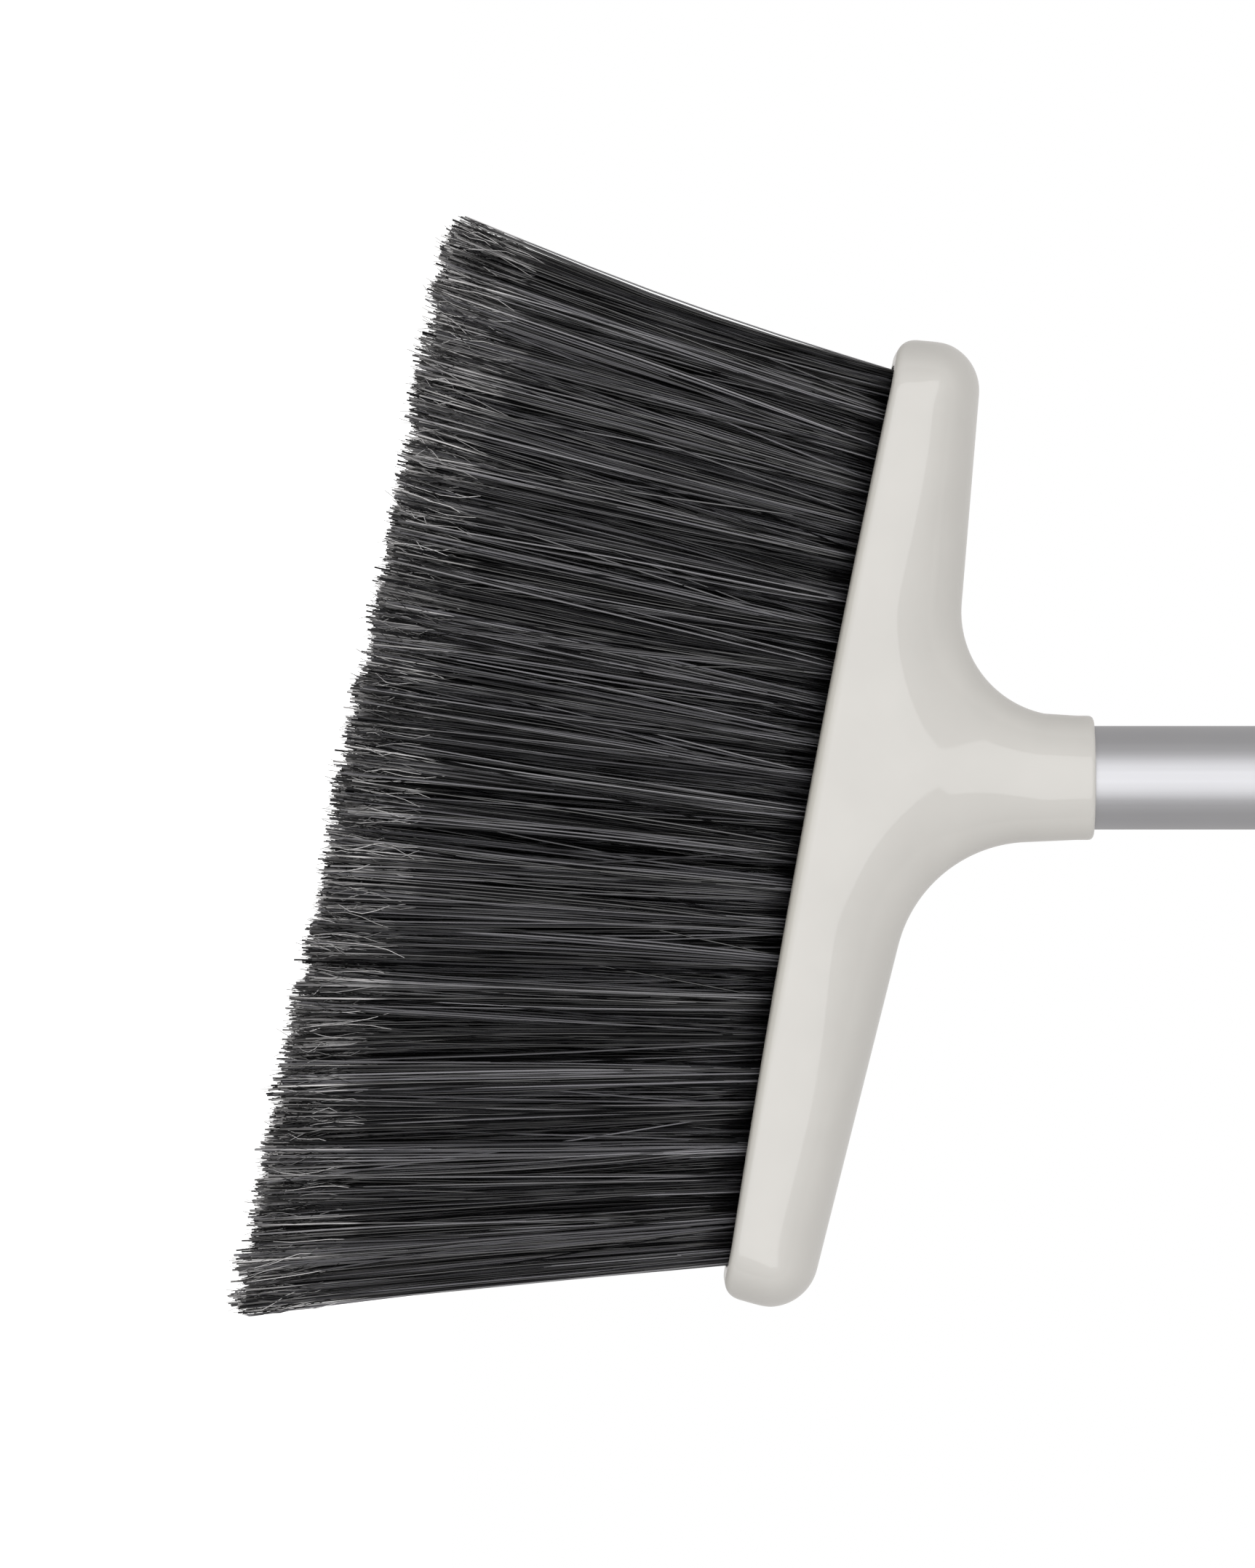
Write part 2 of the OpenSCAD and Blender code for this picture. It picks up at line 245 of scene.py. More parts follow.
def add_mesh(name, vertices, faces, material, body):
    """A new smooth mesh piece from points in metres. faces is a list of index arrays, one row to
    a face."""
    mesh = bpy.data.meshes.new(name)
    vertices = np.ascontiguousarray(vertices, dtype=np.float32).reshape(-1, 3)
    mesh.vertices.add(len(vertices))
    mesh.vertices.foreach_set("co", vertices.ravel())
    loops = np.concatenate([f.ravel() for f in faces]).astype(np.int32)
    sizes = np.concatenate([np.full(len(f), f.shape[1], dtype=np.int32) for f in faces])
    starts = np.concatenate([[0], np.cumsum(sizes)[:-1]]).astype(np.int32)
    mesh.loops.add(len(loops))
    mesh.loops.foreach_set("vertex_index", loops)
    mesh.polygons.add(len(sizes))
    mesh.polygons.foreach_set("loop_start", starts)
    mesh.polygons.foreach_set("use_smooth", np.ones(len(sizes), dtype=bool))
    mesh.update(calc_edges=True)
    mesh.validate()
    piece = bpy.data.objects.new(name, mesh)
    bpy.context.scene.collection.objects.link(piece)
    mesh.materials.append(material)
    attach(piece, body)
    return piece


# ---------- materials ----------

class Shader:
    """A node material built from short calls. Values left unset stay as Blender's own."""

    def __init__(self, name, **principled):
        self.material = bpy.data.materials.new(name)
        self.material.use_nodes = True
        self.nodes = self.material.node_tree.nodes
        self.links = self.material.node_tree.links
        self.bsdf = self.nodes["Principled BSDF"]
        self.coords = self.nodes.new("ShaderNodeTexCoord").outputs["Object"]
        for socket, value in principled.items():
            self.bsdf.inputs[socket.replace("_", " ")].default_value = value

    def node(self, kind, inputs=None, **settings):
        made = self.nodes.new(kind)
        for key, value in settings.items():
            setattr(made, key, value)
        for key, value in (inputs or {}).items():
            if isinstance(value, bpy.types.NodeSocket):
                self.links.new(value, made.inputs[key])
            else:
                made.inputs[key].default_value = value
        return made

    def stretched(self, factors, turn=0.0):
        mapping = self.node("ShaderNodeMapping", {
            "Vector": self.coords,
            "Scale": factors,
            "Rotation": (0.0, turn, 0.0),
        })
        return mapping.outputs["Vector"]

    def noise(self, scale, detail=3.0, roughness=0.5, vector=None):
        made = self.node("ShaderNodeTexNoise", {
            "Vector": vector or self.coords,
            "Scale": scale,
            "Detail": detail,
            "Roughness": roughness,
        })
        return made.outputs["Fac"]

    def span(self, value, low, high, to_low=0.0, to_high=1.0):
        made = self.node("ShaderNodeMapRange", {
            "Value": value,
            "From Min": low,
            "From Max": high,
            "To Min": to_low,
            "To Max": to_high,
        })
        return made.outputs["Result"]

    def mix(self, factor, a, b):
        """Blend of two colours. The sockets go by number, because several share a name."""
        made = self.node("ShaderNodeMix", {0: factor, 6: a, 7: b}, data_type="RGBA")
        return made.outputs[2]

    def maths(self, operation, a, b):
        made = self.node("ShaderNodeMath", {0: a, 1: b}, operation=operation)
        return made.outputs[0]

    def set(self, socket, value):
        self.links.new(value, self.bsdf.inputs[socket])

    def bump(self, height, strength, distance):
        made = self.node("ShaderNodeBump", {
            "Height": height,
            "Strength": strength,
            "Distance": distance,
        })
        self.set("Normal", made.outputs["Normal"])

    def height_above_lip(self):
        """Metres above the lip, square to the tilted bar."""
        dot = self.node("ShaderNodeVectorMath", {
            0: self.coords,
            1: (math.sin(TILT), 0.0, math.cos(TILT)),
        }, operation="DOT_PRODUCT")
        return self.maths("ADD", dot.outputs["Value"], -LIP_Z * MM * math.cos(TILT))


def grey(value, warm=0.0):
    return (value * (1 + warm), value, value * (1 - warm), 1.0)


# Depth of the surface grain
FINE_GRAIN = 0.04 * MM
FIBRE_GRAIN = 0.03 * MM
STEEL_GRAIN = 0.05 * MM
MOULDED_GRAIN = 0.1 * MM


def cap_plastic():
    """Pale glossy plastic, with painted shade in brown along the lip, where the bristles meet it."""
    s = Shader("cap_plastic", IOR=1.49)
    darker = (0.575, 0.567, 0.545, 1.0)
    lighter = (0.60, 0.591, 0.568, 1.0)
    lip_shade = (0.40, 0.385, 0.33, 1.0)
    mottle = s.noise(45.0, 4.0)
    base = s.mix(s.span(mottle, 0.35, 0.65), darker, lighter)
    # painted shade: the plastic darkens to brown over the 3 mm above the lip, most at the lip itself
    lip = s.span(s.height_above_lip(), -1 * MM, 3 * MM, 0.8, 0.0)
    s.set("Base Color", s.mix(lip, base, lip_shade))
    s.set("Roughness", s.span(s.noise(160.0, 5.0), 0.3, 0.7, 0.05, 0.08))
    grain = s.maths("ADD", s.noise(2600.0, 2.0), s.noise(500.0, 2.0))
    s.bump(grain, 0.05, FINE_GRAIN)
    return s.material


def anodised_aluminium():
    """Satin metal with fine streaks along the tube."""
    s = Shader("anodised_aluminium", Metallic=1.0)
    darker = (0.475, 0.479, 0.504, 1.0)
    lighter = (0.505, 0.509, 0.532, 1.0)
    streaks = s.noise(900.0, 3.0, 0.6, s.stretched((1.0, 1.0, 0.004)))
    cloud = s.noise(35.0, 3.0)
    tone = s.span(s.maths("ADD", streaks, cloud), 0.7, 1.3)
    s.set("Base Color", s.mix(tone, darker, lighter))
    s.set("Roughness", s.span(streaks, 0.3, 0.7, 0.42, 0.50))
    s.bump(streaks, 0.05, FINE_GRAIN)
    return s.material


def bristle_fibre():
    """Dark filaments, each with a tone of its own, some of them worn pale towards the tips."""
    s = Shader("bristle_fibre", IOR=1.65)
    darkest = (0.0035, 0.0035, 0.004, 1.0)
    lightest = (0.215, 0.214, 0.232, 1.0)
    dusty = (0.11, 0.11, 0.119, 1.0)
    scuffed = (0.75, 0.742, 0.75, 1.0)
    each = s.node("ShaderNodeNewGeometry").outputs["Random Per Island"]
    other = s.node("ShaderNodeTexWhiteNoise", {"W": each}, noise_dimensions="1D").outputs["Value"]
    tone = s.maths("POWER", each, 3.2)
    body = s.mix(tone, darkest, lightest)
    patch = s.noise(300.0, 2.0, 0.5, s.stretched((1.0, 1.0, 0.15), TILT))
    body = s.mix(s.span(patch, 0.45, 0.75, 0.0, 0.2), body, dusty)
    ragged = s.span(s.noise(90.0, 2.0), 0.3, 0.7, -8 * MM, 8 * MM)
    ragged = s.maths("ADD", ragged, s.span(other, 0.0, 1.0, -4 * MM, 4 * MM))
    up = s.maths("ADD", s.height_above_lip(), ragged)
    # the worn zone fades in from 86 to 98 mm below the lip and mostly out again at the very tips
    fade_in = s.span(up, -86 * MM, -98 * MM)
    fade_out = s.span(up, -114 * MM, -104 * MM, 0.2, 1.0)
    share = s.maths("POWER", s.span(other, 0.0, 1.0, 0.05, 1.0), 5.0)
    worn = s.maths("MULTIPLY", s.maths("MULTIPLY", fade_in, fade_out), share)
    s.set("Base Color", s.mix(worn, body, scuffed))
    s.set("Roughness", s.span(other, 0.0, 1.0, 0.2, 0.42))
    s.set("Specular IOR Level", s.maths("POWER", other, 1.8))
    s.bump(s.noise(1800.0, 2.0), 0.15, FIBRE_GRAIN)
    return s.material


def flagged_fibre():
    """The split, scuffed ends of the bristles."""
    s = Shader("flagged_fibre", IOR=1.5, Specular_IOR_Level=0.12)
    darkest = (0.006, 0.006, 0.0065, 1.0)
    palest = (0.98, 0.97, 0.98, 1.0)
    each = s.node("ShaderNodeNewGeometry").outputs["Random Per Island"]
    tone = s.maths("POWER", each, 3.6)
    s.set("Base Color", s.mix(tone, darkest, palest))
    s.set("Roughness", s.span(each, 0.0, 1.0, 0.4, 0.65))
    s.bump(s.noise(1800.0, 2.0), 0.15, FIBRE_GRAIN)
    return s.material


def moulded(name, value, rough, grain=0.1):
    """A dark moulded plastic or rubber with a little colour and gloss variation."""
    s = Shader(name, IOR=1.5)
    s.set("Base Color", s.mix(s.noise(70.0, 4.0), grey(value * 0.85), grey(value * 1.15, 0.01)))
    s.set("Roughness", s.span(s.noise(200.0, 4.0), 0.3, 0.7, rough - 0.06, rough + 0.06))
    s.bump(s.noise(2200.0, 3.0), grain, MOULDED_GRAIN)
    return s.material


def bright_steel():
    """Plain steel wire and screws, slightly worn."""
    s = Shader("bright_steel", Metallic=1.0)
    wear = s.noise(900.0, 4.0)
    s.set("Base Color", s.mix(wear, grey(0.30), grey(0.40)))
    s.set("Roughness", s.span(wear, 0.3, 0.7, 0.25, 0.42))
    s.bump(wear, 0.08, STEEL_GRAIN)
    return s.material


PLASTIC = cap_plastic()
ALUMINIUM = anodised_aluminium()
FIBRE = bristle_fibre()
FLAG = flagged_fibre()
BLOCK = moulded("block_plastic", 0.035, 0.5)
TIP = moulded("tip_plastic", 0.025, 0.45)
RUBBER = moulded("grip_rubber", 0.07, 0.62, 0.2)
SEAL = moulded("seal_rubber", 0.02, 0.7)
STEEL = bright_steel()


# ---------- head cap ----------

def cap_outline():
    """Both sides of the cap seen square-on, in bar coordinates, run past the lip and the collar."""
    past_lip = np.array([0, -PAST_LIP])
    heel_bulge = (END_BULGE_R - HEEL_REACH, SHOULDER_H)
    heel = [on_arc(heel_bulge, END_BULGE_R, 180 + END_BULGE_ANGLE) + past_lip]
    heel += arc(heel_bulge, END_BULGE_R, 180 + END_BULGE_ANGLE, 181, 8)
    heel += arc((SHOULDER_R - HEEL_REACH, SHOULDER_H), SHOULDER_R, 180, 95)
    heel_sweep = (HEEL_SWEEP_INSET - NECK_R - HEEL_SWEEP_R, HEEL_SWEEP_H)
    heel += [to_bar(*p) for p in arc(heel_sweep, HEEL_SWEEP_R, *HEEL_SWEEP, 28)]
    heel += [to_bar(-COLLAR_R, h) for h in (COLLAR_FOOT, COLLAR_TOP + PAST_COLLAR)]
    toe_bulge = (TOE_REACH - END_BULGE_R, SHOULDER_H)
    toe = [on_arc(toe_bulge, END_BULGE_R, -END_BULGE_ANGLE) + past_lip]
    toe += arc(toe_bulge, END_BULGE_R, -END_BULGE_ANGLE, -1, 8)
    toe += arc((TOE_REACH - SHOULDER_R, SHOULDER_H), SHOULDER_R, 0, 87)
    toe_sweep = (NECK_R + TOE_SWEEP_R, TOE_SWEEP_H)
    toe += [to_bar(*p) for p in arc(toe_sweep, TOE_SWEEP_R, *TOE_SWEEP, 28)]
    toe += [to_bar(COLLAR_R, h) for h in (COLLAR_FOOT, COLLAR_TOP + PAST_COLLAR)]
    return np.array(heel), np.array(toe)


def distance_inside(u, v, sides):
    """Distance from points to the nearest side of the outline, negative outside it."""
    point = np.stack([u, v], axis=-1)[:, None, :]
    nearest = np.full(len(u), 1e9)
    for side in sides:
        a, b = side[:-1][None], side[1:][None]
        edge = b - a
        t = ((point - a) * edge).sum(-1) / (edge ** 2).sum(-1)
        gap = point - a - np.clip(t, 0, 1)[..., None] * edge
        nearest = np.minimum(nearest, np.sqrt((gap ** 2).sum(-1)).min(axis=1))
    loop = np.concatenate([sides[0], sides[1][::-1]])
    a, b = loop, np.roll(loop, -1, axis=0)
    rise = b[:, 1] - a[:, 1]
    rise = np.where(np.abs(rise) < 1e-9, 1e-9, rise)
    spans = (a[None, :, 1] > v[:, None]) != (b[None, :, 1] > v[:, None])
    cross_u = a[None, :, 0] + (v[:, None] - a[None, :, 1]) * (b - a)[None, :, 0] / rise[None]
    inside = ((u[:, None] < cross_u) & spans).sum(axis=1) % 2 == 1
    return np.where(inside, nearest, -nearest)


def blur(values, sigma):
    """Gaussian blur of a grid, sigma in grid steps."""
    reach = int(3 * sigma)
    weights = np.exp(-0.5 * (np.arange(-reach, reach + 1) / sigma) ** 2)
    weights /= weights.sum()
    for axis in (0, 1):
        padded = np.pad(values, [(reach, reach) if k == axis else (0, 0) for k in (0, 1)], mode="edge")
        size = values.shape[axis]
        values = sum(
            w * padded.take(range(k, k + size), axis=axis) for k, w in enumerate(weights)
        )
    return values


class EdgeMap:
    """Distance inside the outline, looked up from a grid. Away from the edge it is softened, so
    that no crease shows along the points that are equally far from two sides."""

    step = 0.5
    margin = 10
    low_u = -HEEL_REACH - margin
    low_v = -13.0
    above_collar = 14
    blur_reach = 2.6
    soft_from = 7
    soft_over = 8

    def __init__(self, sides):
        u = np.arange(self.low_u, TOE_REACH + self.margin, self.step)
        v = np.arange(self.low_v, COLLAR_TOP + self.above_collar, self.step)
        grid_u, grid_v = np.meshgrid(u, v, indexing="ij")
        edge = distance_inside(grid_u.ravel(), grid_v.ravel(), sides).reshape(grid_u.shape)
        soft = blur(edge, self.blur_reach / self.step)
        self.values = lerp(edge, soft, ease((edge - self.soft_from) / self.soft_over))

    def __call__(self, u, v):
        a = np.clip((u - self.low_u) / self.step, 0, self.values.shape[0] - 2)
        b = np.clip((v - self.low_v) / self.step, 0, self.values.shape[1] - 2)
        i, j = a.astype(int), b.astype(int)
        near = lerp(self.values[i, j], self.values[i, j + 1], b - j)
        far = lerp(self.values[i + 1, j], self.values[i + 1, j + 1], b - j)
        return lerp(near, far, a - i)


def smooth_min(a, b, r):
    """The smaller of two distances, rounded over r where they meet."""
    h = np.maximum(r - np.abs(a - b), 0) / r
    return np.minimum(a, b) - h * h * r / 4


def lip_height(u):
    """The lip bows a little towards the bristles in the middle of the bar."""
    return LIP_ENDS_H - LIP_BOW * np.maximum(0, 1 - ((u - BAR_MID) / LIP_BOW_REACH) ** 2)


def front_half(u, v):
    """Half thickness of the cap away from its rounded edges."""
    half = lerp(BAR_HALF, COLLAR_R, ease((v - THIN_START) / THIN_BLEND))
    low = np.clip(1 - (v - lip_height(u)) / LIP_ROUND_H, 0, 0.99)
    return half - LIP_ROUND * (1 - np.sqrt(1 - low * low))


def outer_skin(u, y, v, edge):
    """About the distance in mm inside the outer skin, from the distance inside the outline. The
    edge is rounded tightly along the bar, widely where the bar flares into the neck, and to a
    circle at the collar."""
    across, up = from_bar(u, v)
    flare = ease((FLARE_REACH - np.abs(across)) / FLARE_BLEND)
    neck = ease((up - NECK_START) / NECK_BLEND)
    power = lerp(lerp(EDGE_POWER, ROUND_POWER, flare), ROUND_POWER, neck)
    round_r = lerp(lerp(EDGE_ROUND_R, NECK_FLARE_R, flare), COLLAR_R, neck)
    rim = np.clip(1 - edge / round_r, 0, None)
    half = front_half(u, v)
    return half / 2 * (1 - rim ** power - (y / half) ** 2)


def lip_corners(u, v):
    """Distance inside the lip and the two bar ends, with their corners rounded."""
    over_corner = np.maximum(v - lip_height(u) - LIP_EDGE_R, 0)
    end = BAR_HALF_LENGTH - LIP_END_INSET + END_LEAN * over_corner
    past_end = np.maximum(np.abs(u - BAR_MID) - (end - LIP_EDGE_R), 0)
    past_lip = np.maximum(LIP_EDGE_R + lip_height(u) - v, 0)
    return LIP_EDGE_R - np.hypot(past_end, past_lip)


def cavity(u, y, v):
    """Distance inside the hollow that holds the tuft block."""
    past_u = np.abs(u - BAR_MID) - (BAR_HALF_LENGTH - CAVITY_INSET - CAVITY_CORNER_R)
    past_y = np.abs(y) - (CAVITY_HALF_WIDE - CAVITY_CORNER_R)
    hollow = CAVITY_CORNER_R - np.hypot(np.maximum(past_u, 0), np.maximum(past_y, 0))
    hollow = hollow - np.minimum(np.maximum(past_u, past_y), 0)
    return smooth_min(hollow, CAVITY_DEPTH - v, CAVITY_BLEND)


def cap_field(u, y, v, edge):
    """About the distance in mm inside the finished cap."""
    across, up = from_bar(u, v)
    body = outer_skin(u, y, v, edge)
    body = smooth_min(body, lip_corners(u, v), LIP_BLEND)
    body = smooth_min(body, COLLAR_TOP - up, COLLAR_BLEND)
    bore_r = np.where(up > INSERT_TOP, SOCKET_R, INSERT_R)
    bore = np.minimum(bore_r - np.hypot(across, y), up - INSERT_FLOOR)
    return np.minimum(body, -np.maximum(bore, cavity(u, y, v)))


def surface_net(values, low, step):
    """Closed quad mesh of the zero level of a grid of values, positive inside."""
    inside = values > 0
    cells = tuple(n - 1 for n in values.shape)
    total = np.zeros(cells + (3,), dtype=np.float32)
    count = np.zeros(cells, dtype=np.float32)
    for axis in range(3):
        one, two = (k for k in range(3) if k != axis)
        for corner in ((0, 0), (0, 1), (1, 0), (1, 1)):
            near = [0, 0, 0]
            near[one], near[two] = corner
            far = list(near)
            far[axis] += 1
            a = tuple(slice(o, o + c) for o, c in zip(near, cells))
            b = tuple(slice(o, o + c) for o, c in zip(far, cells))
            crosses = inside[a] != inside[b]
            gap = np.where(crosses, values[a] - values[b], 1)
            for k in range(3):
                total[..., k] += crosses * (near[k] + (values[a] / gap if k == axis else 0))
            count += crosses
    used = count > 0
    index = np.full(cells, -1, dtype=np.int64)
    index[used] = np.arange(used.sum())
    place = np.argwhere(used) + total[used] / count[used][:, None]
    quads = []
    for axis in range(3):
        one, two = (k for k in range(3) if k != axis)
        a = [slice(1, -1)] * 3
        b = [slice(1, -1)] * 3
        a[axis], b[axis] = slice(0, -1), slice(1, None)
        change = inside[tuple(a)] != inside[tuple(b)]
        start = np.argwhere(change)
        start[:, one] += 1
        start[:, two] += 1
        around = []
        for da, db in ((-1, -1), (0, -1), (0, 0), (-1, 0)):
            cell = start.copy()
            cell[:, one] += da
            cell[:, two] += db
            around.append(index[tuple(cell.T)])
        quad = np.stack(around, axis=-1)
        outward = inside[tuple(start.T)] == (axis != 1)
        quads.append(np.where(outward[:, None], quad, quad[:, ::-1]))
    return np.array(low) + place * step, np.concatenate(quads)


def settle(points, edge_at, reach=0.05, longest=0.3):
    """Moves points of the net on to the true surface, along the slope of the field."""
    def value(p):
        return cap_field(p[:, 0], p[:, 1], p[:, 2], edge_at(p[:, 0], p[:, 2]))

    here = value(points)
    slope = np.stack([
        (value(points + reach * axis) - value(points - reach * axis)) / (2 * reach)
        for axis in np.eye(3)
    ], axis=-1)
    steepness = np.maximum((slope ** 2).sum(axis=1), 0.25)
    move = -(here / steepness)[:, None] * slope
    return points + np.clip(move, -longest, longest)


def build_cap(step=0.7):
    """The cap as one closed skin, from a grid that runs a little past it on every side."""
    edge_at = EdgeMap(cap_outline())
    u = np.arange(-HEEL_REACH - 2, TOE_REACH + 2.5, step)
    y = (np.arange(66) - 32.5) * step
    v = np.arange(-3.5, COLLAR_TOP + 4, step)
    grid_u, grid_v = np.meshgrid(u, v, indexing="ij")
    edge = edge_at(grid_u, grid_v)
    field = cap_field(grid_u[:, None, :], y[None, :, None], grid_v[:, None, :], edge[:, None, :])
    points, quads = surface_net(field, (u[0], y[0], v[0]), step)
    for _ in range(3):
        points = settle(points, edge_at)
    piece = add_mesh("cap_shell", bar_to_frame(points), [quads], PLASTIC, "head")
    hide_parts("head_cap")


build_cap()


# ---------- bristles ----------

def strands(paths, radii, sides):
    """Vertices and faces of closed thin strands. paths is (n, points, 3), radii is (n, points)."""
    count, points = radii.shape
    along = paths[:, -1] - paths[:, 0]
    along /= np.linalg.norm(along, axis=1, keepdims=True)
    first = np.cross(along, [1.0, 0.0, 0.0])
    first /= np.linalg.norm(first, axis=1, keepdims=True)
    second = np.cross(along, first)
    turn = np.arange(sides) * 2 * math.pi / sides
    spokes = (
        np.cos(turn)[None, :, None] * first[:, None, :]
        + np.sin(turn)[None, :, None] * second[:, None, :]
    )
    body = paths[:, :, None, :] + radii[:, :, None, None] * spokes[:, None, :, :]
    vertices = body.reshape(count, points * sides, 3)
    base = (np.arange(count) * points * sides)[:, None, None]
    k = (np.arange(points - 1) * sides)[None, :, None]
    i = np.arange(sides)[None, None, :]
    j = (i + 1) % sides
    quads = np.stack(
        [base + k + j, base + k + sides + j, base + k + sides + i, base + k + i], axis=-1
    ).reshape(-1, 4)
    foot = base[:, 0] + np.arange(sides)[::-1][None, :]
    end = base[:, 0] + (points - 1) * sides + np.arange(sides)[None, :]
    return vertices.reshape(-1, 3), [quads, foot, end]


def tuft_lines(row):
    """Root and tip of each tuft of a row, in bar coordinates."""
    middle = (ROWS + 1) / 2
    stagger = 0.5 if row % 2 == 0 else 0.0
    count = TUFTS - math.ceil(stagger)
    places = [k for k in range(count) if not (row == middle and k in SCREW_TUFTS)]
    t = (np.array(places) + stagger) / (TUFTS - 1)
    side = row - middle
    flat = np.full(len(t), 1.0)
    roots = np.stack([
        lerp(HEEL_ROOT, TOE_ROOT, t),
        side * ROW_PITCH * flat,
        ROOT_H * flat,
    ], axis=-1)
    tips = np.stack([
        lerp(HEEL_TIP, TOE_TIP, t),
        side * TIP_ROW_PITCH * flat,
        -lerp(HEEL_LENGTH, TOE_LENGTH, t),
    ], axis=-1)
    return roots, tips


def fold_in(value, low, high):
    """Turns back values that pass a limit, so that they stay spread and don't pile up on it."""
    value = np.where(value < low, 2 * low - value, value)
    return np.where(value > high, 2 * high - value, value)


def tip_shifts(angle, out, lock, at_heel, at_toe):
    """Shift of each tip along and through the bar. Tips fan out as the filaments leave the hole and
    clump into locks. The two end tufts lean outwards and spread only towards the middle."""
    n = len(out)
    loose = rng.uniform(0, 1, n) < LOOSE_SHARE
    last = at_heel | at_toe
    # loose filaments follow their lock less and fan out more
    lock_u, lock_y = (lock * np.where(loose, 0.5, 1.0)[:, None]).T
    inward = np.where(at_heel, 1.0, -1.0)
    lock_u = np.where(last, np.where(loose, 0.2, 1.25) * np.abs(lock_u) * inward, lock_u)
    outward = np.where(at_heel, -END_TUFT_LEAN, np.where(at_toe, END_TUFT_LEAN, 0.0))
    fan = np.where(last, 1.1, np.where(loose, 2.2, 1.0)) * out * np.cos(angle)
    own = rng.normal(0, OWN_SPREAD_U, n) * np.where(last, 0.5, 1)
    shift_u = fan + outward + LOCK_SPREAD_U * lock_u + own
    shift_y = 0.8 * out * np.sin(angle) + LOCK_SPREAD_Y * lock_y + rng.normal(0, OWN_SPREAD_Y, n)
    stray = (rng.uniform(0, 1, n) < STRAY_SHARE) & ~last
    shift_u += stray * rng.normal(0, STRAY_SPREAD, n)
    return (
        np.clip(shift_u, -MOST_SPREAD_U, MOST_SPREAD_U),
        np.clip(shift_y, -MOST_SPREAD_Y, MOST_SPREAD_Y),
    )


def trimmed(along, lock_trim):
    """Height of tips cut to one line, a little ragged, with some locks cut longer."""
    line = -lerp(HEEL_LENGTH, TOE_LENGTH, (along - HEEL_TIP) / (TOE_TIP - HEEL_TIP))
    ragged = np.clip(rng.normal(0.4, 0.7, len(along)), -1.0, 4.0)
    return line + TRIM_SHORT - np.minimum(lock_trim, MOST_LOCK_TRIM) + ragged


def bowed(start, end, lock_bow, at_heel, at_toe):
    """Gently bowed paths from start to end. Both sides of the brush bow inwards, the heel more."""
    n = len(start)
    t = np.linspace(0, 1, 8)
    bow_u = rng.normal(0, OWN_BOW, n) + lock_bow
    bow_u = np.where(at_heel, HEEL_SIDE_BOW + END_TUFT_BOW * np.abs(bow_u), bow_u)
    bow_u = np.where(at_toe, -END_TUFT_BOW * np.abs(bow_u), bow_u)
    bow_y = rng.normal(0, OWN_BOW, n)
    paths = start[:, None, :] + (end - start)[:, None, :] * t[None, :, None]
    paths[:, :, 0] += bow_u[:, None] * np.sin(math.pi * t)[None, :]
    paths[:, :, 0] += rng.normal(0, OWN_WAVE, n)[:, None] * np.sin(3 * math.pi * t)[None, :]
    paths[:, :, 1] += bow_y[:, None] * np.sin(math.pi * t)[None, :]
    return paths


def build_row(row):
    """All filaments of one row of tufts as one piece, and their split ends as another."""
    roots, tips = tuft_lines(row)
    tufts = len(roots)
    owner = np.repeat(np.arange(tufts), PER_TUFT)
    n = len(owner)
    at_heel = owner == 0
    at_toe = owner == tufts - 1
    # where each filament leaves its hole
    angle = rng.uniform(0, 2 * math.pi, n)
    out = TUFT_R * np.sqrt(rng.uniform(0, 1, n))
    start = roots[owner] + np.stack([out * np.cos(angle), out * np.sin(angle), 0 * out], axis=-1)
    # where its tip ends
    locks = rng.normal(0, 1, (tufts, LOCKS, 2))
    which = rng.integers(0, LOCKS, n)
    shift_u, shift_y = tip_shifts(angle, out, locks[owner, which], at_heel, at_toe)
    end = tips[owner].copy()
    end[:, 0] = fold_in(end[:, 0] + shift_u, HEEL_TIP - HEEL_STRAY, TOE_TIP + TOE_STRAY)
    end[:, 1] = fold_in(end[:, 1] + shift_y, -TIP_HALF_WIDE, TIP_HALF_WIDE)
    end[:, 2] = trimmed(end[:, 0], rng.exponential(LOCK_TRIM, (tufts, LOCKS))[owner, which])
    lock_bow = rng.normal(0, LOCK_BOW, (tufts, LOCKS))[owner, which]
    paths = bowed(start, end, lock_bow, at_heel, at_toe)
    thick = rng.uniform(*FILAMENT_R, n)[:, None]
    taper = np.interp(np.linspace(0, 1, paths.shape[1]), [0, 0.86, 1], [1.0, 1.0, 0.85])[None, :]
    vertices, faces = strands(paths, thick * taper, 4)
    piece = add_mesh(
        f"bristles_row_{row}", bar_to_frame(vertices), faces, FIBRE, "head"
    )
    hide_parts(f"tufts_row_{row}")
    build_flags(row, paths)


